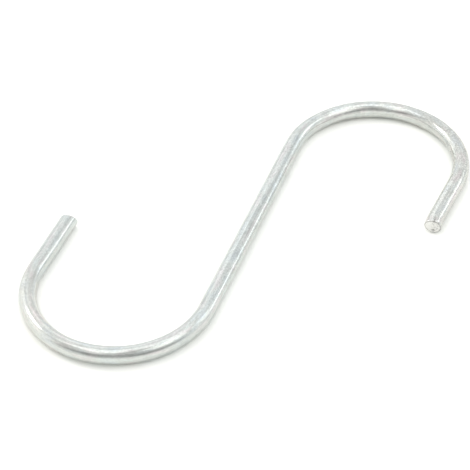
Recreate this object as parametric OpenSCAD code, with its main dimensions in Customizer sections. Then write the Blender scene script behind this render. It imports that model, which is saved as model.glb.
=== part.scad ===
// S hook bent from one piece of round, zinc-plated steel wire.
// It lies flat: the straight shank runs along Y, the S is drawn in the XY plane,
// and the underside of the wire touches Z = 0. The middle of the shank is above the origin.
// The upper hook, at +Y, opens towards -Y with its tail at +X.
// The lower hook, at -Y, opens towards +Y with its tail at -X.

/* [Wire] */
// Diameter of the plated wire
wire_d = 4; // [2:0.1:8]
// Width of the broken edge round each snipped face
rim_break = 0.15; // [0.05:0.05:0.4]
// How much thinner the wire is drawn where it is bent, across its diameter
bend_thinning = 0.02; // [0.01:0.01:0.1]

/* [Shank] */
// Straight length between the two bends
shank_len = 59; // [20:1:200]

/* [Upper hook] */
// Inner radius of the upper bend
upper_bend_r = 18; // [8:0.5:40]
// Angle through which the wire turns in the upper bend, in degrees
upper_bend_turn = 185; // [150:1:195]
// Straight tail after the upper bend, along its centre line
upper_tail_len = 16.5; // [6:0.1:40]
// How much longer the inner side of the upper tip is left by the shears, as an angle
upper_snip_skew = 10; // [-20:1:20]
// How much longer the top of the upper tip is left by the shears, as an angle
upper_snip_lean = 7; // [-20:1:20]

/* [Lower hook] */
// Inner radius of the lower bend
lower_bend_r = 18; // [8:0.5:40]
// Angle through which the wire turns in the lower bend, in degrees
lower_bend_turn = 181; // [150:1:195]
// Straight tail after the lower bend, along its centre line
lower_tail_len = 17.4; // [6:0.1:40]
// How much longer the inner side of the lower tip is left by the shears, as an angle
lower_snip_skew = 5; // [-20:1:20]
// How much longer the top of the lower tip is left by the shears, as an angle
lower_snip_lean = -13; // [-20:1:20]

/* [Hidden] */
$fn = 96;
wire_r = wire_d / 2;
rim_r = wire_r - rim_break;
bend_lap = 0.2; // how far a bend runs into the straights that it joins
zinc = [0.80, 0.83, 0.82];

// Round bar along +Y from the origin.
module bar(len, r1 = wire_r, r2 = wire_r) {
    rotate([-90, 0, 0]) cylinder(h = len, r1 = r1, r2 = r2);
}

// The straight middle of the S, centred on the origin.
module shank() {
    translate([0, -shank_len / 2, 0]) bar(shank_len);
}

// Puts its children at the far end of a bend, in the bend's own turned frame.
module after_bend(centre_r, turn) {
    translate([centre_r, 0, 0]) rotate([0, 0, -turn]) translate([-centre_r, 0, 0]) children();
}

// A bend that starts at the origin heading +Y and curls towards +X.
// Its wire is a touch thinner than the straights, and runs a short way into them at both ends.
module bend(centre_r, turn) {
    lap = bend_lap / centre_r * 180 / PI;
    translate([centre_r, 0, 0])
        mirror([1, 0, 0])
            rotate([0, 0, -lap])
                rotate_extrude(angle = turn + 2 * lap)
                    translate([centre_r, 0])
                        circle(r = wire_r - bend_thinning / 2);
}

// What the shears take away beyond the plane Y = 0: all of the wire in front of it,
// and a 45 degree collar behind it that breaks the rim.
module snip() {
    difference() {
        translate([0, -wire_d, 0]) bar(3 * wire_d, r1 = 2 * wire_d, r2 = 2 * wire_d);
        translate([0, -2 * wire_d, 0]) bar(2 * wire_d, r1 = rim_r + 2 * wire_d, r2 = rim_r);
    }
}

// A straight tail along +Y from the origin, with its tip snipped a little out of square.
module tail(len, skew, lean) {
    difference() {
        bar(len + wire_d);
        translate([0, len, 0]) rotate([-lean, 0, skew]) snip();
    }
}

// One hook of the S, from the end of the shank at the origin: a bend, then its tail.
module hook_end(bend_r, turn, tail_len, skew, lean) {
    centre_r = bend_r + wire_r;
    bend(centre_r, turn);
    after_bend(centre_r, turn) tail(tail_len, skew, lean);
}

// The whole bent wire, lying on the plane Z = 0.
module s_hook() {
    color(zinc)
        translate([0, 0, wire_r]) {
            shank();
            translate([0, shank_len / 2, 0])
                hook_end(upper_bend_r, upper_bend_turn, upper_tail_len, upper_snip_skew, upper_snip_lean);
            rotate([0, 0, 180])
                translate([0, shank_len / 2, 0])
                    hook_end(lower_bend_r, lower_bend_turn, lower_tail_len, lower_snip_skew, lower_snip_lean);
        }
}

s_hook();
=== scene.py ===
import math

import bpy
import numpy as np
from mathutils import Matrix, Vector


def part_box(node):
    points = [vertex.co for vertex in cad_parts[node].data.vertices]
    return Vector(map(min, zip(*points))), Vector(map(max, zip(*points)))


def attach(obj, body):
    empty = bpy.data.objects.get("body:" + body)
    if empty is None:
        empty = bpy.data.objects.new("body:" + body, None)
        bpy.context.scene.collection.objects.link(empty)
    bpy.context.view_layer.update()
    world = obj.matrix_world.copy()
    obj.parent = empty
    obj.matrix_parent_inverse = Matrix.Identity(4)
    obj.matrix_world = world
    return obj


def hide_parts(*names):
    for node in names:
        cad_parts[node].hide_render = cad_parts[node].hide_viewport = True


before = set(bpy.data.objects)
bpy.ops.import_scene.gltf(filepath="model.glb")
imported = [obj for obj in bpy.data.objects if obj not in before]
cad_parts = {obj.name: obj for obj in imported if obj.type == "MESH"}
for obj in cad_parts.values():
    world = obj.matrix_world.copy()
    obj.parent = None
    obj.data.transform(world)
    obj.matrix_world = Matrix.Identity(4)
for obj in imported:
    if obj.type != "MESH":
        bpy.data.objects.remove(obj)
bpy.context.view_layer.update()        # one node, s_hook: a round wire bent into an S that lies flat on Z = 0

MM = 0.001

# ---------------------------------------------------------------- the wire's own sizes
LOW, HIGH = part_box("s_hook")
WIRE_R = (HIGH.z - LOW.z) / 2    # the wire is as thick as the flat S is high
SHANK = 59 * MM                  # straight length between the two bends
BEND_R = 18 * MM + WIRE_R        # centre line of both bends
THINNING = 0.01 * MM             # lost from the wire's radius where it is bent

# Each hook: turn of its bend, length of its tail, and the two angles of its snip.
UPPER = dict(turn=math.radians(185), tail=16.5 * MM, skew=math.radians(10), lean=math.radians(7))
LOWER = dict(turn=math.radians(181), tail=17.4 * MM, skew=math.radians(5), lean=math.radians(-13))

# ---------------------------------------------------------------- what the cutters did to the tips
RIM = 0.15 * MM                  # broken edge round each face, at its narrowest
RIM_TOP = 0.20 * MM              # how much wider the rolled edge is along the top
ROLL = 1.3                       # how much longer than wide the roll is there
SHOVE = 0.16 * MM                # the upper tip is pushed this far outwards
SHOVE_REACH = 2.8 * MM           # over this length of wire
PINCH = 0.22 * MM                # squeezed off the upper tip's low inner side
PINCH_REACH = 1.3 * MM           # over this length of wire
PINCH_SIDE = math.radians(-28)   # middle of the squeezed side, up from the inside of the bend
PINCH_SPREAD = 0.75              # its half width round the wire, in radians
RIM_SPREAD = 1.0                 # half width of the wide part of the edge, in the same measure
ROLL_SPREAD = 0.9                # and of the long part
SCORE = 0.07 * MM                # depth of the score that the cutter left on top of the upper tip
SCORE_START = 1.2 * MM           # it begins this far from the tip
SCORE_FULL = 0.3 * MM            # and is at its full depth from here to the tip
SCORE_SIDE = math.radians(101)   # where it runs, round the wire
SCORE_SPREAD = 0.11              # its half width, in radians

# ---------------------------------------------------------------- the two halves of a snipped face
TEAR_STEP = 0.08 * MM            # how much deeper the torn half of a face lies
TEAR_AT = 0.15 * MM              # their border lies this far inwards of the middle
TEAR_LEAN = 0.08                 # how much the border leans
TEAR_SOFT = 0.12 * MM            # half width of the step
TEAR_WAVER = 0.05 * MM           # how far the border wanders
TORN_GRAIN = 0.010 * MM          # roughness of the torn half
SHEARED_GRAIN = 0.003 * MM       # and of the sheared half
UPPER_GRAIN = 5                  # seed of the upper face's grain
LOWER_GRAIN = 6                  # and of the lower one's
GRAIN_WAVES = 40                 # waves that make up the grain
GRAIN_LENGTH = (0.22, 0.6)       # their shortest and longest length, in mm
RIDGE = 0.014 * MM               # height of the torn half's ridges
RIDGE_GAP = 0.34 * MM            # distance from one to the next
RIDGE_WAY = (0.93, 0.36)         # the way across them: inwards and up
RIDGE_WAVER = 1.2                # how much the grain bends them
DISH = 0.06 * MM                 # how deep a face is hollowed
DISH_EDGE = 0.75                 # a face's forms fade out from this share of the radius
NOTCH = 0.34 * MM                # depth of the nick where the two halves part, near the floor
NOTCH_R = 0.20 * MM              # its radius
NOTCH_AT = (-0.14 * MM, -1.25 * MM)    # its place: inwards and up

# Painted shade: dark lines along the edges of a face, standing in for the shade where its rim turns away:
# half width of the line, and how dark its parts are.
UPPER_SHADE_LINE = 0.09 * MM
LOWER_SHADE_LINE = 0.20 * MM
RIM_SHADE_LINE = 1.2                   # the line is this much narrower on the rim's side
NICK_PAINTED_SHADE = 1.5                 # painted shade in the nick, and where the score crosses the rim
SCORE_PAINTED_SHADE = 0.6                # painted shade in the rest of the score

# ---------------------------------------------------------------- the skin's unevenness
SHANK_RIPPLE = 0.0009 * MM       # left by the drawing die
WORN_RIPPLE = 0.0070 * MM        # orange peel where the wire is stretched and rubbed
SWELL = 0.0035 * MM              # long flat waves of the drawn and straightened wire
LOWER_SWELL = 0.012 * MM         # the same on the lower bend, where the former pressed
UPPER_SWELL = 0.020 * MM         # and on the upper one
BEND_FLAT = 0.016 * MM           # pressed in along the inside of the bends by the former
FLAT_SPREAD = 0.22               # half width of that flat, in radians

# The waves that these are made of: seed, how many, shortest and longest length.
FINE_WAVES = (7, 70, 0.7 * MM, 1.8 * MM)
LONG_WAVES = (19, 30, 2.5 * MM, 7 * MM)
LONG_SHARE = 0.8                 # of the long waves in the orange peel
PEEL_CREST = 2.2                 # where the orange peel is cut off to the round, in spreads
SWELL_WAVES = (29, 24, 2.6 * MM, 5.0 * MM)
SWELL_STRETCH = 4                # how much longer than that the swell is along the wire
SWELL_CREST = 1.5                # where the swell is cut off

KNOCKS = 150                     # small knocks and die marks
KNOCK_HALF = (0.20, 0.60)        # half their length, in mm
KNOCK_SHAPE = (0.3, 0.9)         # their width as a share of their length
KNOCK_DEPTH = (0.003, 0.011)     # in mm, where the skin is about two thirds worn
KNOCK_SIDE = 0.7                 # radians up from the inside of a bend, and their spread
KNOCK_WAY = 0.6                  # spread of their ways, in radians off the wire's own
KNOCK_LEAST = 0.3                # share of their depth where the skin is not worn
KNOCK_TURN = (0.02, 1.0)         # where those of a bend sit, as a share of its turn
KNOCK_END = 4                    # half lengths from its middle at which a knock is left off
KNOCK_SEED = 41

# How rubbed the skin is: degrees of turn from the shank, and the wear there, 0 to 1.
# The turn goes on growing along the tails, at the bend's pace, and wear fades out
# over the last degrees of the shank.
UPPER_WEAR = ([0, 18, 48, 80, 98, 122, 140, 156, 176, 190],
              [0.03, 0.10, 0.25, 0.10, 0.35, 0.60, 0.80, 1.0, 0.80, 0.04])
LOWER_WEAR = ([0, 35, 80, 105, 132, 165, 185], [0.12, 0.08, 0.03, 0.10, 0.25, 0.30, 0.05])

# How far the clear passivate has turned from blue to straw, in the same way.
UPPER_STRAW = ([0, 20, 60, 100, 130, 160, 190], [0.0, 0.05, 0.25, 0.65, 0.70, 0.95, 0.80])
LOWER_STRAW = ([0, 75, 110, 140, 165, 184], [0.0, 0.0, 0.60, 1.0, 0.80, 0.0])

# Painted light: how much lighter the colour is made, in the same way, standing in for brighter reflections on
# the upper hook.
UPPER_PAINTED_LIGHT = ([0, 25, 50, 80, 110, 150, 175, 190],
              [0.030, 0.055, 0.040, 0.0, 0.030, 0.015, 0.030, 0.042])
LOWER_PAINTED_LIGHT = ([0], [0.0])
FADE_IN = 12                     # degrees before a bend over which all of these fade in

# The values that the skin carries from point to point, and theirs at the middles of the faces.
LAYERS = [("bend_wear", 0), ("bent", 0), ("straw", 0), ("pale", 0), ("snipped", 1),
          ("painted_edge_shade", 0), ("torn", 0.5)]

# ---------------------------------------------------------------- fineness of the surface
AROUND = 96                      # columns round the wire
STEP_STRAIGHT = 0.36 * MM        # ring spacing on the shank and the tails
STEP_BEND = 0.24 * MM            # ring spacing on the bends
SNIP_REACH = 3 * MM              # the rings lean over into the snip's plane along this length
FACE_RINGS = 22                  # rings between the rim and the middle of a face
FACE_EASE = 0.16                 # share of a face's radius over which its forms come in
CORNERS = np.radians([15, 30, 45, 60, 75, 90])    # the rings of the rolled rim


def smooth(edge0, edge1, value):
    """0 below edge0, 1 above edge1, and 3t^2 - 2t^3 between them."""
    t = np.clip((value - edge0) / (edge1 - edge0), 0, 1)
    return t * t * (3 - 2 * t)


def bump(value, centre, width):
    """A bell of height 1: e to the minus of ((value - centre) / width) squared."""
    return np.exp(-((value - centre) / width) ** 2)


def turned(angle, centre):
    """The angle measured from centre, brought between minus pi and pi."""
    return (angle - centre + np.pi) % (2 * np.pi) - np.pi


def half_length(hook):
    """Length of the wire from the middle of the shank to the tip of a hook."""
    return SHANK / 2 + BEND_R * hook["turn"] + hook["tail"]


def to_tip(distance):
    """Length of wire left between a ring and the tip that it is nearer to."""
    tip = np.where(distance >= 0, half_length(UPPER), half_length(LOWER))
    return tip - np.abs(distance)


def route(distance):
    """Centre line of the wire at signed distances from the middle of the shank.

    Going up, the heading turns clockwise from +Y by (distance - SHANK / 2) / BEND_R on the
    bend and then stays. The centre is the shank's straight, plus the bend's circle, plus the
    tail along the last heading. The lower half is the same curve with its own turn, put
    through the origin point by point, so both halves share one set of directions. Next to
    the upper tip the centre moves outwards by SHOVE times 3t^2 - 2t^3.
    Returns centre, across (towards the inside of the upper bend) and forward."""
    upper = distance >= 0
    reach = np.abs(distance)
    turn = np.where(upper, UPPER["turn"], LOWER["turn"])
    heading = np.clip((reach - SHANK / 2) / BEND_R, 0, turn)
    straight = np.minimum(reach, SHANK / 2)
    beyond = np.maximum(reach - SHANK / 2 - BEND_R * turn, 0)
    x = BEND_R * (1 - np.cos(heading)) + beyond * np.sin(heading)
    y = straight + BEND_R * np.sin(heading) + beyond * np.cos(heading)
    sign = np.where(upper, 1.0, -1.0)
    level = np.zeros_like(x)
    centre = np.stack([sign * x, sign * y, level + WIRE_R], axis=-1)
    across = np.stack([np.cos(heading), -np.sin(heading), level], axis=-1)
    forward = np.stack([np.sin(heading), np.cos(heading), level], axis=-1)
    shove = np.where(upper, SHOVE, 0) * smooth(SHOVE_REACH, 0, to_tip(distance))
    return centre - shove[..., None] * across, across, forward


def ring_distances():
    """Signed distances of all the rings from the lower tip to the upper one."""
    stops = [-half_length(LOWER), -SHANK / 2 - BEND_R * LOWER["turn"], -SHANK / 2,
             SHANK / 2, SHANK / 2 + BEND_R * UPPER["turn"], half_length(UPPER)]
    spacings = [STEP_STRAIGHT, STEP_BEND, STEP_STRAIGHT, STEP_BEND, STEP_STRAIGHT]
    runs = [np.linspace(a, b, round((b - a) / apart), endpoint=False)
            for a, b, apart in zip(stops, stops[1:], spacings)]
    return np.concatenate(runs + [stops[-1:]])


def bent(distance):
    """1 on the bends and 0 on the straights, eased over a wire's diameter."""
    reach = np.abs(distance)
    end = SHANK / 2 + BEND_R * np.where(distance >= 0, UPPER["turn"], LOWER["turn"])
    return smooth(-WIRE_R, WIRE_R, reach - SHANK / 2) * smooth(-WIRE_R, WIRE_R, end - reach)


def by_turn(distance, upper, lower):
    """A value read between the pairs of a hook's list at the ring's turn, and 0 on the shank."""
    turn = np.degrees((np.abs(distance) - SHANK / 2) / BEND_R)
    value = np.where(distance >= 0, np.interp(turn, *upper), np.interp(turn, *lower))
    return value * smooth(-FADE_IN, 0, turn)


def worn(distance):
    """How rubbed the skin is, 0 to 1."""
    return by_turn(distance, UPPER_WEAR, LOWER_WEAR)


def inside(distance, angle):
    """Angle from the side of the wire that lies on the inside of its bend."""
    return turned(angle, np.where(distance >= 0, 0.0, np.pi))


def ripple(distance, angle, seed, count, short, long):
    """Sum of seeded sine waves over the unrolled wire, scaled to a spread of about 1.

    Each wave has a length between short and long and a way across the skin. Along the wire
    its phase grows by 2 pi / length * cos(way) a metre, and round the wire by the whole
    number nearest to 2 pi * WIRE_R / length * sin(way) a radian, so that it closes."""
    draw = np.random.default_rng(seed)
    length = np.exp(draw.uniform(np.log(short), np.log(long), count))
    way = draw.uniform(0, np.pi, count)
    along = 2 * np.pi / length * np.cos(way)
    whole = np.rint(2 * np.pi * WIRE_R / length * np.sin(way))
    start = draw.uniform(0, 2 * np.pi, count)
    total = 0
    for k in range(count):
        total = total + np.sin(along[k] * distance + whole[k] * angle + start[k])
    return total * math.sqrt(2 / count)


def knocks(distance, angle):
    """Depth of the small knocks and die marks, in metres.

    Each is an oval bell: its depth times e to the minus of the squared distance from its
    middle, measured in half lengths along its own way and half widths across it. Two out of
    three sit on the bends, most of them on the inner and upper sides, where the former and
    the roller pressed."""
    draw = np.random.default_rng(KNOCK_SEED)
    depth = np.zeros(np.broadcast_shapes(distance.shape, angle.shape))
    for k in range(KNOCKS):
        end = draw.choice([-1, 1])
        hook = UPPER if end > 0 else LOWER
        if k % 3:
            middle = end * (SHANK / 2 + BEND_R * hook["turn"] * draw.uniform(*KNOCK_TURN))
            side = (0 if end > 0 else np.pi) + end * draw.normal(KNOCK_SIDE, KNOCK_SIDE)
        else:
            middle = end * draw.uniform(0, half_length(hook) - WIRE_R)
            side = draw.uniform(-np.pi, np.pi)
        half = draw.uniform(*KNOCK_HALF) * MM
        width = half * draw.uniform(*KNOCK_SHAPE)
        way = draw.normal(0, KNOCK_WAY)
        size = draw.uniform(*KNOCK_DEPTH) * MM
        rows = np.abs(distance[:, 0] - middle) < KNOCK_END * half
        along = distance[rows] - middle
        over = turned(angle, side) * WIRE_R
        a = (along * math.cos(way) + over * math.sin(way)) / half
        b = (over * math.cos(way) - along * math.sin(way)) / width
        depth[rows] += size * np.exp(-a * a - b * b)
    return depth * (KNOCK_LEAST + worn(distance))


def rim_width(distance, angle):
    """Broken edge round a tip: RIM, and RIM_TOP more along the top of the wire."""
    return RIM + RIM_TOP * bump(turned(angle, np.pi / 2), 0, RIM_SPREAD) + 0 * distance


def rim_length(distance, angle):
    """Length of the broken edge along the wire: its width, times 1 + ROLL along the top."""
    roll = ROLL * bump(turned(angle, np.pi / 2), 0, ROLL_SPREAD)
    return rim_width(distance, angle) * (1 + roll)


def scored(distance, angle):
    """Share of the score's full depth: a narrow groove that runs up from the upper tip."""
    reach = smooth(SCORE_START, SCORE_FULL, to_tip(distance)) * (distance > 0)
    return reach * bump(turned(angle, SCORE_SIDE), 0, SCORE_SPREAD)


def radius(distance, angle):
    """The wire's own radius, less the bends' thinning and flat, ripples, knocks, pinch and score.

    The ripples have the drawn skin's height and rise to the orange peel's with the square of
    the wear. The swell rises from the shank's to that of each bend. Both are counted down
    from a crest and cut off there, so that nothing leaves the round."""
    bend = bent(distance)
    fine = ripple(distance, angle, *FINE_WAVES)
    long = ripple(distance, angle, *LONG_WAVES)
    height = SHANK_RIPPLE + WORN_RIPPLE * worn(distance) ** 2
    peel = height * np.clip(PEEL_CREST - fine - LONG_SHARE * long, 0, None)
    swell = ripple(distance / SWELL_STRETCH, angle, *SWELL_WAVES)
    on_bend = np.where(distance >= 0, UPPER_SWELL, LOWER_SWELL)
    peel = peel + (SWELL + (on_bend - SWELL) * bend) * np.clip(SWELL_CREST - swell, 0, None)
    flat = BEND_FLAT * bend * bump(inside(distance, angle), 0, FLAT_SPREAD)
    near = smooth(PINCH_REACH, 0, to_tip(distance)) * (distance > 0)
    pinch = PINCH * near * bump(turned(angle, PINCH_SIDE), 0, PINCH_SPREAD)
    proud = WIRE_R - THINNING * bend - peel - flat
    return proud - knocks(distance, angle) - pinch - SCORE * scored(distance, angle)


def snip_slope(distance, angle):
    """How far past the tail's length the snip's plane lies, per unit of radius."""
    upper = distance >= 0
    turned_skew = np.where(upper, UPPER["skew"], -LOWER["skew"])
    skew = np.where(upper, UPPER["skew"], LOWER["skew"])
    lean = np.where(upper, UPPER["lean"], LOWER["lean"])
    return np.tan(turned_skew) * np.cos(angle) + np.tan(lean) / np.cos(skew) * np.sin(angle)


def placed(distance, angle, size, along):
    """Points of the skin and their places on the straightened wire.

    A point is the centre plus size times (cos angle across + sin angle up), plus along times
    forward, counted away from the shank. Its place is (size cos angle, size sin angle,
    distance + along)."""
    centre, across, forward = route(distance)
    end = np.where(distance >= 0, 1.0, -1.0)
    u = size * np.cos(angle)
    w = size * np.sin(angle)
    up = np.array([0, 0, 1.0])
    skin = centre + u[..., None] * across + w[..., None] * up + (end * along)[..., None] * forward
    place = np.stack(np.broadcast_arrays(u, w, distance + end * along), axis=-1)
    return skin, place


def wire_rings(angle):
    """The wire from tip to tip, with its last rings eased over into the planes of the snips.

    Returns the points, their places on the straightened wire, and the seven values that
    LAYERS names."""
    distance = ring_distances()[:, None]
    size = radius(distance, angle)
    ease = smooth(SNIP_REACH, 0, to_tip(distance))
    along = ease * (snip_slope(distance, angle) * size - rim_length(distance, angle))
    skin, place = placed(distance, angle, size, along)
    nothing = np.zeros_like(size)
    wear = worn(distance) + nothing
    straw = by_turn(distance, UPPER_STRAW, LOWER_STRAW) + nothing
    # painted light along the upper hook, standing in for brighter reflections there
    pale = by_turn(distance, UPPER_PAINTED_LIGHT, LOWER_PAINTED_LIGHT) + nothing
    # painted shade in the score that runs up from the upper tip
    edge = SCORE_PAINTED_SHADE * scored(distance, angle)
    return skin, place, wear, bent(distance) + nothing, straw, pale, nothing, edge, nothing


def face_height(end, u, w):
    """Height of a snipped face over its plane at u across and w up, and its two masks.

    Its inner half was sheared and is nearly flat. The outer half tore: it lies TEAR_STEP
    deeper, with ridges along the way the blade went and a grain over them. Where the halves
    part, a nick NOTCH deep and 2 NOTCH_R across is left near the floor. The masks are 1 on
    the torn half and 1 in the nick."""
    draw = np.random.default_rng(UPPER_GRAIN if end > 0 else LOWER_GRAIN)
    inner = end * u
    grain = 0
    for _ in range(GRAIN_WAVES):
        length = draw.uniform(*GRAIN_LENGTH) * MM
        way = draw.uniform(0, 2 * np.pi)
        phase = 2 * np.pi / length * (u * math.cos(way) + w * math.sin(way))
        grain = grain + np.sin(phase + draw.uniform(0, 2 * np.pi)) / math.sqrt(GRAIN_WAVES / 2)
    border = inner + TEAR_LEAN * w - TEAR_AT + TEAR_WAVER * grain
    torn = smooth(TEAR_SOFT, -TEAR_SOFT, border)
    across = inner * RIDGE_WAY[0] + w * RIDGE_WAY[1]
    ridges = np.sin(2 * np.pi * across / RIDGE_GAP + RIDGE_WAVER * grain)
    edge = smooth(WIRE_R, DISH_EDGE * WIRE_R, np.hypot(u, w))
    rough = torn * (TORN_GRAIN * grain + RIDGE * ridges) + (1 - torn) * SHEARED_GRAIN * grain
    nick = np.exp(-((inner - NOTCH_AT[0]) ** 2 + (w - NOTCH_AT[1]) ** 2) / NOTCH_R ** 2)
    dish = DISH * (1 - (u * u + w * w) / WIRE_R ** 2)
    return edge * (rough - dish) - TEAR_STEP * torn - NOTCH * nick, torn, nick


def tip_rings(end, angle):
    """The rolled rim and the face of a tip, ring by ring towards its middle.

    On the rim the radius shrinks by its width times (1 - cos corner) while the ring moves on
    by its length times sin corner. On the face the rings shrink evenly, at the plane of the
    snip plus the face's own height. Returns what wire_rings does, and then the point at the
    middle of the face and its place."""
    hook = UPPER if end > 0 else LOWER
    distance = np.array([[end * half_length(hook)]])
    outer = radius(distance, angle)
    rim = rim_width(distance, angle)
    corner = CORNERS[:, None]
    share = np.linspace(1, 0, FACE_RINGS + 2)[1:-1, None]
    size = np.concatenate([outer - rim * (1 - np.cos(corner)), (outer - rim) * share])
    length = rim_length(distance, angle)
    back = np.concatenate([length * (1 - np.sin(corner)), np.zeros((FACE_RINGS, 1)) + 0 * rim])
    slope = snip_slope(distance, angle)
    on_rim = (np.arange(len(size)) < len(CORNERS))[:, None]
    on_face = smooth(0, FACE_EASE, 1 - size / (outer - rim)) * ~on_rim
    height, torn, nick = face_height(end, size * np.cos(angle), size * np.sin(angle))
    along = slope * size - back + height * on_face
    skin, place = placed(distance + 0 * size, angle, size, along)
    middle = face_height(end, np.zeros(1), np.zeros(1))[0]
    pole_skin, pole_place = placed(distance[0], angle[0, :1], np.zeros(1), middle)
    cut = np.concatenate([smooth(0, 1, np.sin(corner)) + 0 * rim,
                          np.ones((FACE_RINGS, 1)) + 0 * rim])
    # painted shade: a dark line along the face's edges, standing in for the shade where the rim turns away
    gap = np.where(on_rim, back * RIM_SHADE_LINE, outer - rim - size)
    edge = bump(gap, 0, UPPER_SHADE_LINE if end > 0 else LOWER_SHADE_LINE)
    # painted shade in the nick
    edge = np.maximum(edge, NICK_PAINTED_SHADE * nick * on_face)
    # painted shade where the score crosses the rim
    edge = np.maximum(edge, NICK_PAINTED_SHADE * scored(distance, angle) * on_rim)
    nothing = np.zeros_like(cut)
    return (skin, place, nothing, nothing, nothing, nothing, cut, edge, torn * cut,
            pole_skin[0], pole_place[0])


def build_wire():
    """One closed skin: lower face, wire, upper face, with a fan of triangles at each middle."""
    angle = (np.arange(AROUND) * 2 * np.pi / AROUND)[None, :]
    body = wire_rings(angle)
    lower = tip_rings(-1, angle)
    upper = tip_rings(1, angle)
    joined = (np.concatenate([a[::-1], b, c]) for a, b, c in zip(lower, body, upper))
    skin, place, *values = joined
    rings = len(skin)
    points = np.concatenate([skin.reshape(-1, 3), lower[-2][None], upper[-2][None]])
    places = np.concatenate([place.reshape(-1, 3), lower[-1][None], upper[-1][None]])
    ring, column = np.meshgrid(np.arange(rings - 1), np.arange(AROUND), indexing="ij")
    beside = (column + 1) % AROUND
    quads = np.stack([(ring + 1) * AROUND + column, (ring + 1) * AROUND + beside,
                      ring * AROUND + beside, ring * AROUND + column], axis=-1).reshape(-1, 4)
    first = np.arange(AROUND)
    after = (first + 1) % AROUND
    last = (rings - 1) * AROUND
    low_fan = np.stack([np.full(AROUND, rings * AROUND), first, after], axis=-1)
    high_fan = np.stack([np.full(AROUND, rings * AROUND + 1), last + after, last + first], axis=-1)
    mesh = bpy.data.meshes.new("bent_wire")
    mesh.from_pydata(points.tolist(), [], quads.tolist() + low_fan.tolist() + high_fan.tolist())
    mesh.update()
    mesh.shade_smooth()
    straight = mesh.attributes.new("straight_wire", "FLOAT_VECTOR", "POINT")
    straight.data.foreach_set("vector", places.ravel())
    for (name, pole), value in zip(LAYERS, values):
        layer = mesh.attributes.new(name, "FLOAT", "POINT")
        layer.data.foreach_set("value", np.append(value.ravel(), [pole, pole]))
    wire = bpy.data.objects.new("bent_wire", mesh)
    bpy.context.scene.collection.objects.link(wire)
    return wire


# ---------------------------------------------------------------- materials
def feed(tree, socket, value):
    """Links a socket to another one, or sets it to a number, vector or colour."""
    if isinstance(value, bpy.types.NodeSocket):
        tree.links.new(value, socket)
    else:
        socket.default_value = value


def step(tree, operation, first, second=0.0, third=0.0):
    """One step of arithmetic on sockets or numbers."""
    node = tree.nodes.new("ShaderNodeMath")
    node.operation = operation
    feed(tree, node.inputs[0], first)
    feed(tree, node.inputs[1], second)
    feed(tree, node.inputs[2], third)
    return node.outputs[0]


def ranged(tree, value, low, high, new_low, new_high):
    """Takes low to new_low and high to new_high, eased, and holds outside them."""
    node = tree.nodes.new("ShaderNodeMapRange")
    node.interpolation_type = "SMOOTHSTEP"
    feed(tree, node.inputs["Value"], value)
    feed(tree, node.inputs["From Min"], low)
    feed(tree, node.inputs["From Max"], high)
    feed(tree, node.inputs["To Min"], new_low)
    feed(tree, node.inputs["To Max"], new_high)
    return node.outputs["Result"]


def blend(tree, factor, first, second, mode="MIX"):
    """Mixes two colours."""
    node = tree.nodes.new("ShaderNodeMix")
    node.data_type = "RGBA"
    node.blend_type = mode
    feed(tree, node.inputs[0], factor)
    feed(tree, node.inputs[6], first)
    feed(tree, node.inputs[7], second)
    return node.outputs[2]


SHIFT_WAY = (1, 0.37, 1.71)      # the way in which the clouds are set apart
FINER = 0.55                     # strength of each finer layer of a cloud


def cloud(tree, place, around, along, shift, detail):
    """Noise whose grains measure around by along millimetres on the straightened wire."""
    mapping = tree.nodes.new("ShaderNodeMapping")
    mapping.inputs["Location"].default_value = [shift * share for share in SHIFT_WAY]
    mapping.inputs["Scale"].default_value = (1 / (around * MM), 1 / (around * MM), 1 / (along * MM))
    tree.links.new(place, mapping.inputs["Vector"])
    noise = tree.nodes.new("ShaderNodeTexNoise")
    noise.inputs["Scale"].default_value = 1.0
    noise.inputs["Detail"].default_value = detail
    noise.inputs["Roughness"].default_value = FINER
    tree.links.new(mapping.outputs["Vector"], noise.inputs["Vector"])
    return noise.outputs["Fac"]


def carried(tree, name, output="Fac"):
    """A value that the skin carries from point to point."""
    node = tree.nodes.new("ShaderNodeAttribute")
    node.attribute_name = name
    return node.outputs[output]


# Clouds of noise on the straightened wire: size of their grains round it and along it in
# mm, a shift that sets them apart, and how many finer layers they have.
CLOUDS = [(0.16, 14, 0.0, 3.0),        # lines left by the drawing die
          (0.55, 22, 5.3, 2.0),        # broader bands along the wire
          (1.3, 2.2, 11.9, 3.0),       # mottle
          (0.24, 0.30, 23.1, 3.0),     # the grain of the zinc
          (0.45, 0.85, 83.7, 2.0),     # blotches
          (1.5, 5.0, 37.7, 2.0),       # the play of colour
          (0.34, 0.55, 51.3, 4.0),     # scuffs
          (1.6, 3.5, 67.9, 2.0)]       # the patches that are rubbed more

# How the clouds are read: a low and a high value of the noise, and what they stand for.
LINES_SHADE = (0.3, 0.7, 0.95, 1.03)
BANDS_SHADE = (0.3, 0.7, 0.91, 1.05)
MOTTLE_SHADE = (0.32, 0.68, 0.93, 1.04)
GRAIN_SPECKS = (0.35, 0.65, -1.0, 1.0)
BLOTCH_SHADE = (0.36, 0.64, -0.045, 0.045)       # on the bends only
RUBBED_SHARE = (0.36, 0.60, 0.35, 1.0)           # share of the wear
SCUFF_SHARE = (0.55, 0.64, 0.0, 1.0)             # share of what is left of it
STEEL_SHADE = (0.40, 0.58, 0.96, 1.0)
CRACKS = (0.008, 0.040, 1.0, 0.0)                # painted shade in the cracks, by distance from the noise's middle
MOTTLE_ROUGH = (0.3, 0.7, 0.12, 0.18)
LINES_ROUGH = (0.3, 0.7, 0.0, 0.05)

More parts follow.
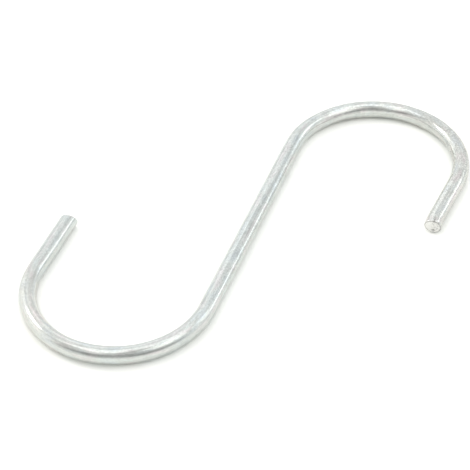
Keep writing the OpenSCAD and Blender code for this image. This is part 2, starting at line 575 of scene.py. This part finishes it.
# Colours of the zinc: cool, greenish and faintly pink, each at its place in the play of colour.
ZINC = [(0.30, (0.768, 0.820, 0.822, 1)),
        (0.50, (0.792, 0.832, 0.796, 1)),
        (0.70, (0.825, 0.810, 0.798, 1))]
STRAW = (1.045, 1.01, 0.99, 1)         # what the passivate's turning does to the colour
SCUFFED = (0.46, 0.46, 0.44, 1)        # the bottom of a scuff
SCUFF_MIX = 0.75                       # how far a scuff goes towards it
CUT_STEEL = (1.0, 0.995, 0.96, 1)      # the bright steel of a snipped face
PAINTED_SHADE_COLOUR = (0.30, 0.30, 0.28, 1)      # painted shade: the dark lines along its edges, and in its nick and the score
PAINTED_SHADE_MIX = 0.60                        # how far the skin goes towards that painted shade

# How strongly the zinc's brightness changes.
EVEN_SHADE = 0.985                     # its middle
CLEAN = (0.70, 1.06)                   # share of the changes on the lower hook, and above it
CLEAN_FROM = -55 * MM                  # the one turns into the other from here on the wire
CLEAN_TO = 10 * MM                     # to here
SPECK = 0.11                           # the grain, on the straights
SPECK_BENT = -0.06                     # added to it on the bends
SPECK_WORN = 0.10                      # and on worn patches
WORN_SHADE = -0.11                     # worn patches
CRACK_PAINTED_SHADE = -0.42                    # painted shade in the cracks of a torn face
SHEARED_CRACK_SHADE = 0.22                  # share of that painted shade on the sheared half

# Roughness: what is added by worn patches, scuffs and cuts.
WORN_ROUGH = 0.09
SCUFF_ROUGH = 0.15
CUT_ROUGH = 0.14

# Heights of the surface, in millimetres.
LINE_HEIGHT = 0.0016
MOTTLE_HEIGHT = 0.0014
GRAIN_HEIGHT = 0.0008                  # on a skin that is not worn
PEEL_HEIGHT = 0.0075                   # added to it by wear
SCUFF_HEIGHT = -0.0060


def zinc_plate():
    """Bright zinc on drawn wire, scuffed on the bends, and the bright steel of the snipped faces.

    The zinc's brightness is the product of the lines, bands and mottle, plus the grain and
    the blotches. Its distance from EVEN_SHADE is scaled down on the lower hook. Then worn
    patches darken it, and painted light lightens it in places, for brighter reflections."""
    material = bpy.data.materials.new("zinc_plated_wire")
    material.use_nodes = True
    tree = material.node_tree
    shader = tree.nodes["Principled BSDF"]
    place = carried(tree, "straight_wire", "Vector")
    # edge carries the painted shade of the faces' edges, nick and score
    wear, bend, straw, pale, cut, edge, torn = (carried(tree, name) for name, _ in LAYERS)
    clouds = [cloud(tree, place, *grains) for grains in CLOUDS]
    lines, bands, mottle, grain, blotch, hue, scuff, rubbed = clouds

    # the lower hook's skin is more even than the upper one's
    split = tree.nodes.new("ShaderNodeSeparateXYZ")
    tree.links.new(place, split.inputs["Vector"])
    clean = ranged(tree, split.outputs["Z"], CLEAN_FROM, CLEAN_TO, *CLEAN)

    # where the wire is worn: the bends, in patches
    patches = step(tree, "MULTIPLY", wear, ranged(tree, rubbed, *RUBBED_SHARE))
    scuffs = step(tree, "MULTIPLY", patches, ranged(tree, scuff, *SCUFF_SHARE))

    # brightness of the zinc
    shade = step(tree, "MULTIPLY", ranged(tree, lines, *LINES_SHADE),
                 ranged(tree, bands, *BANDS_SHADE))
    shade = step(tree, "MULTIPLY", shade, ranged(tree, mottle, *MOTTLE_SHADE))
    strength = step(tree, "MULTIPLY_ADD", bend, SPECK_BENT, SPECK)
    strength = step(tree, "MULTIPLY_ADD", patches, SPECK_WORN, strength)
    specks = step(tree, "MULTIPLY", ranged(tree, grain, *GRAIN_SPECKS), strength)
    shade = step(tree, "ADD", shade, specks)
    blotches = step(tree, "MULTIPLY", ranged(tree, blotch, *BLOTCH_SHADE), bend)
    shade = step(tree, "ADD", shade, blotches)
    uneven = step(tree, "SUBTRACT", shade, EVEN_SHADE)
    shade = step(tree, "MULTIPLY_ADD", uneven, clean, EVEN_SHADE)
    shade = step(tree, "MULTIPLY_ADD", patches, WORN_SHADE, shade)
    # painted light: lightens the colour where the reflections should be brighter
    shade = step(tree, "ADD", shade, pale)

    # colour of the zinc
    ramp = tree.nodes.new("ShaderNodeValToRGB")
    stops = ramp.color_ramp.elements
    stops.new(0.5)
    for stop, (position, tint) in zip(stops, ZINC):
        stop.position = position
        stop.color = tint
    tree.links.new(hue, ramp.inputs["Fac"])
    colour = blend(tree, 1.0, ramp.outputs["Color"], shade, "MULTIPLY")
    colour = blend(tree, step(tree, "MULTIPLY", scuffs, SCUFF_MIX), colour, SCUFFED)
    colour = blend(tree, straw, colour, STRAW, "MULTIPLY")

    # the snipped faces: a fine grain, cracks along the middle of the blotches darkened with painted shade,
    # and painted shade along the edges, in the nick and in the score
    steel = ranged(tree, grain, *STEEL_SHADE)
    # painted shade in the cracks of the torn half
    off_middle = step(tree, "ABSOLUTE", step(tree, "SUBTRACT", blotch, 0.5))
    cracks = ranged(tree, off_middle, *CRACKS)
    cracks = step(tree, "MULTIPLY", cracks, step(tree, "MAXIMUM", torn, SHEARED_CRACK_SHADE))
    steel = step(tree, "MULTIPLY_ADD", cracks, CRACK_PAINTED_SHADE, steel)
    colour = blend(tree, cut, colour, blend(tree, 1.0, CUT_STEEL, steel, "MULTIPLY"))
    # painted shade along the edges of the faces, in the nick and in the score
    colour = blend(tree, step(tree, "MULTIPLY", edge, PAINTED_SHADE_MIX), colour, PAINTED_SHADE_COLOUR)
    tree.links.new(colour, shader.inputs["Base Color"])
    shader.inputs["Metallic"].default_value = 1.0

    rough = ranged(tree, mottle, *MOTTLE_ROUGH)
    rough = step(tree, "ADD", rough, ranged(tree, lines, *LINES_ROUGH))
    rough = step(tree, "MULTIPLY_ADD", patches, WORN_ROUGH, rough)
    rough = step(tree, "MULTIPLY_ADD", scuffs, SCUFF_ROUGH, rough)
    rough = step(tree, "MULTIPLY_ADD", cut, CUT_ROUGH, rough)
    tree.links.new(rough, shader.inputs["Roughness"])

    height = step(tree, "MULTIPLY", lines, LINE_HEIGHT)
    height = step(tree, "MULTIPLY_ADD", mottle, MOTTLE_HEIGHT, height)
    peel = step(tree, "MULTIPLY_ADD", patches, PEEL_HEIGHT, GRAIN_HEIGHT)
    height = step(tree, "ADD", height, step(tree, "MULTIPLY", grain, peel))
    height = step(tree, "MULTIPLY_ADD", scuffs, SCUFF_HEIGHT, height)
    bumps = tree.nodes.new("ShaderNodeBump")
    bumps.inputs["Strength"].default_value = 1.0
    bumps.inputs["Distance"].default_value = MM
    tree.links.new(height, bumps.inputs["Height"])
    tree.links.new(bumps.outputs["Normal"], shader.inputs["Normal"])
    return material


# ---------------------------------------------------------------- the studio
WORLD = 0.85                     # plain light from all round
FRONT = 175                      # azimuth of the middle of the room's front
COOL = (0.98, 0.995, 1.01, 1)    # colour of the light from behind the hook
WARM = (1.0, 1.0, 0.995, 1)      # and from in front of it
COOL_TO = -0.75                  # the one turns into the other from here, as a cosine off FRONT
WARM_FROM = 0.2                  # to here
WHITE = (1, 1, 1, 1)

FLOOR = 0.95                     # how pale the floor is
FLOOR_SEEN = 0.45                # added for the camera, so that the floor comes out white
FLOOR_TINT = (0.997, 1.002, 0.977, 1)    # a slightly warm white, that shows in the shadow
FLOOR_LIFT = 0.10                # glow of the floor where the wire mirrors it
FLOOR_HALF = 3                   # half its width, in metres

# Where the camera looks, and from where.
TARGET = Vector((-2.3515, -5.0908, 2.0)) * MM
DISTANCE = 394.874               # in mm
AZIMUTH = math.radians(20.713)   # to the right of the hook's front
ELEVATION = math.radians(41.534)
TILT = math.radians(1.695)       # turn about its own line of sight
LENS = 135.49                    # focal length in mm
SENSOR = 36                      # width of the sensor in mm

# The darker parts of the room: azimuth, elevation, width and height in degrees, softness of
# the edge as a share of the half width, and the level inside.
DARK = [(175, 34, 73, 37, 0.42, 0.51),
        (140, 60, 38, 41, 0.45, 0.68),
        (-129, 39, 58, 29, 0.60, 0.77),
        (122, 22, 58, 24, 0.38, 0.58),
        (23, 32, 12, 26, 0.53, 0.80)]

# The softboxes: azimuth, elevation, width and height in degrees, brightness and colour.
SOFTBOXES = [("softbox_key", -84, 38, 14, 10, 6.00, (1, 0.98, 0.95)),
             ("softbox_left", -90, 21, 68, 47, 0.21, (1, 0.99, 0.95)),
             ("softbox_right", 101, 58, 33, 25, 0.45, (1, 0.99, 0.96)),
             ("softbox_strip", 43, 19, 13, 10, 0.42, (0.96, 0.99, 1.0)),
             ("softbox_corner", 53, 34, 18, 29, 0.34, (0.98, 0.99, 1.0)),
             ("softbox_top", -120, 76, 32, 24, 0.33, (1, 1, 1)),
             ("softbox_rear", 23, 74, 44, 26, 0.25, (1, 1, 1)),
             ("softbox_back", -32, 33, 22, 37, 0.13, (1, 1, 1))]
WATTS = 4                        # power for each square metre of a lamp, at a brightness of 1


def towards(azimuth, elevation):
    """Unit vector at an azimuth and an elevation in degrees.

    The azimuth is counted from +Y, clockwise as seen from above."""
    a = math.radians(azimuth)
    e = math.radians(elevation)
    return Vector((math.sin(a) * math.cos(e), math.cos(a) * math.cos(e), math.sin(e)))


def softbox(name, azimuth, elevation, width, height, brightness, tint):
    """A lamp a metre away, with a plain rectangular face whose sides are given as angles."""
    out = towards(azimuth, elevation)
    data = bpy.data.lights.new(name, "AREA")
    data.shape = "RECTANGLE"
    data.size = 2 * math.tan(math.radians(width / 2))
    data.size_y = 2 * math.tan(math.radians(height / 2))
    data.energy = WATTS * brightness * data.size * data.size_y
    data.color = tint
    lamp = bpy.data.objects.new(name, data)
    lamp.location = out
    lamp.rotation_mode = "QUATERNION"
    lamp.rotation_quaternion = out.to_track_quat("Z", "Y")
    bpy.context.scene.collection.objects.link(lamp)


def cosine(tree, direction, way):
    """How far a direction points along a fixed way: 1 along it and -1 against it."""
    node = tree.nodes.new("ShaderNodeVectorMath")
    node.operation = "DOT_PRODUCT"
    node.inputs[1].default_value = way
    tree.links.new(direction, node.inputs[0])
    return node.outputs["Value"]


def dark_patch(tree, direction, azimuth, elevation, width, height, soft, level):
    """Multiplier of the room's light: level inside an oval part of the room and 1 outside it.

    The direction is turned into the patch's own frame and its two sideways parts are divided
    by the sines of the half width and half height. Their length is 1 on the oval's edge, over
    which the level is eased. The far side of the room is pushed out of the oval."""
    pushed = 10.0
    out = towards(azimuth, elevation)
    patch_frame = out.to_track_quat("Z", "Y").to_matrix()
    turn = tree.nodes.new("ShaderNodeMapping")
    turn.vector_type = "POINT"
    turn.inputs["Rotation"].default_value = patch_frame.transposed().to_euler()
    tree.links.new(direction, turn.inputs["Vector"])
    scale = tree.nodes.new("ShaderNodeVectorMath")
    scale.operation = "MULTIPLY"
    half_width = math.sin(math.radians(width / 2))
    half_height = math.sin(math.radians(height / 2))
    scale.inputs[1].default_value = (1 / half_width, 1 / half_height, 0)
    tree.links.new(turn.outputs["Vector"], scale.inputs[0])
    length = tree.nodes.new("ShaderNodeVectorMath")
    length.operation = "LENGTH"
    tree.links.new(scale.outputs["Vector"], length.inputs[0])
    behind = step(tree, "LESS_THAN", cosine(tree, direction, out), 0.0)
    reach = step(tree, "MULTIPLY_ADD", behind, pushed, length.outputs["Value"])
    return ranged(tree, reach, 1 - soft, 1 + soft, level, 1.0)


def room():
    """The light from all round: plain, with its darker parts, and white to the camera.

    To everything else its colour goes from COOL behind the hook to WARM in front of it."""
    world = bpy.data.worlds.new("room")
    bpy.context.scene.world = world
    world.use_nodes = True
    tree = world.node_tree
    background = tree.nodes["Background"]
    direction = tree.nodes.new("ShaderNodeTexCoord").outputs["Generated"]
    seen = tree.nodes.new("ShaderNodeLightPath").outputs["Is Camera Ray"]
    level = 1.0
    for patch in DARK:
        level = step(tree, "MULTIPLY", level, dark_patch(tree, direction, *patch))
    level = step(tree, "MULTIPLY", level, WORLD)
    tree.links.new(step(tree, "MAXIMUM", level, seen), background.inputs["Strength"])
    facing = cosine(tree, direction, towards(FRONT, 0))
    colour = blend(tree, ranged(tree, facing, COOL_TO, WARM_FROM, 0.0, 1.0), COOL, WARM)
    tree.links.new(blend(tree, seen, colour, WHITE), background.inputs["Color"])


def floor():
    """A plain pale floor at the plane that the hook lies on.

    The camera sees it paler than it is. It also glows, but only where the wire mirrors it
    at first hand, so that it lights nothing."""
    first_hand = 1.5             # ray depth: 1 after the first surface, and 2 after the second
    corners = [(-1, -1), (1, -1), (1, 1), (-1, 1)]
    mesh = bpy.data.meshes.new("floor")
    mesh.from_pydata([(x * FLOOR_HALF, y * FLOOR_HALF, 0) for x, y in corners], [], [(0, 1, 2, 3)])
    sheet = bpy.data.objects.new("floor", mesh)
    bpy.context.scene.collection.objects.link(sheet)
    material = bpy.data.materials.new("pale_floor")
    material.use_nodes = True
    tree = material.node_tree
    tree.nodes.remove(tree.nodes["Principled BSDF"])
    matt = tree.nodes.new("ShaderNodeBsdfDiffuse")
    rays = tree.nodes.new("ShaderNodeLightPath")
    white = step(tree, "MULTIPLY_ADD", rays.outputs["Is Camera Ray"], FLOOR_SEEN, FLOOR)
    tree.links.new(blend(tree, 1.0, FLOOR_TINT, white, "MULTIPLY"), matt.inputs["Color"])
    near = step(tree, "LESS_THAN", rays.outputs["Ray Depth"], first_hand)
    mirrored = step(tree, "MULTIPLY", rays.outputs["Is Glossy Ray"], near)
    glow = tree.nodes.new("ShaderNodeEmission")
    feed(tree, glow.inputs["Strength"], step(tree, "MULTIPLY", mirrored, FLOOR_LIFT))
    both = tree.nodes.new("ShaderNodeAddShader")
    tree.links.new(matt.outputs["BSDF"], both.inputs[0])
    tree.links.new(glow.outputs["Emission"], both.inputs[1])
    tree.links.new(both.outputs["Shader"], tree.nodes["Material Output"].inputs["Surface"])
    mesh.materials.append(material)


def camera():
    """Looks down on the S from in front of it and a little to the right."""
    level = math.cos(ELEVATION)
    back = Vector((math.sin(AZIMUTH) * level, -math.cos(AZIMUTH) * level, math.sin(ELEVATION)))
    right = (-back).cross(Vector((0, 0, 1))).normalized()
    down = (-back).cross(right)
    tilted_right = math.cos(TILT) * right + math.sin(TILT) * down
    tilted_up = math.sin(TILT) * right - math.cos(TILT) * down
    data = bpy.data.cameras.new("camera")
    data.sensor_fit = "HORIZONTAL"
    data.sensor_width = SENSOR
    data.lens = LENS
    data.clip_start = 0.01
    data.clip_end = 20
    eye = bpy.data.objects.new("camera", data)
    turn = Matrix((tilted_right, tilted_up, back)).transposed()
    eye.matrix_world = Matrix.Translation(TARGET + back * DISTANCE * MM) @ turn.to_4x4()
    bpy.context.scene.collection.objects.link(eye)
    bpy.context.scene.camera = eye


# ---------------------------------------------------------------- the scene
wire = build_wire()
wire.data.materials.append(zinc_plate())
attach(wire, "root")
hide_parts("s_hook")
floor()
room()
for box in SOFTBOXES:
    softbox(*box)
camera()
bpy.context.scene.view_settings.view_transform = "Standard"
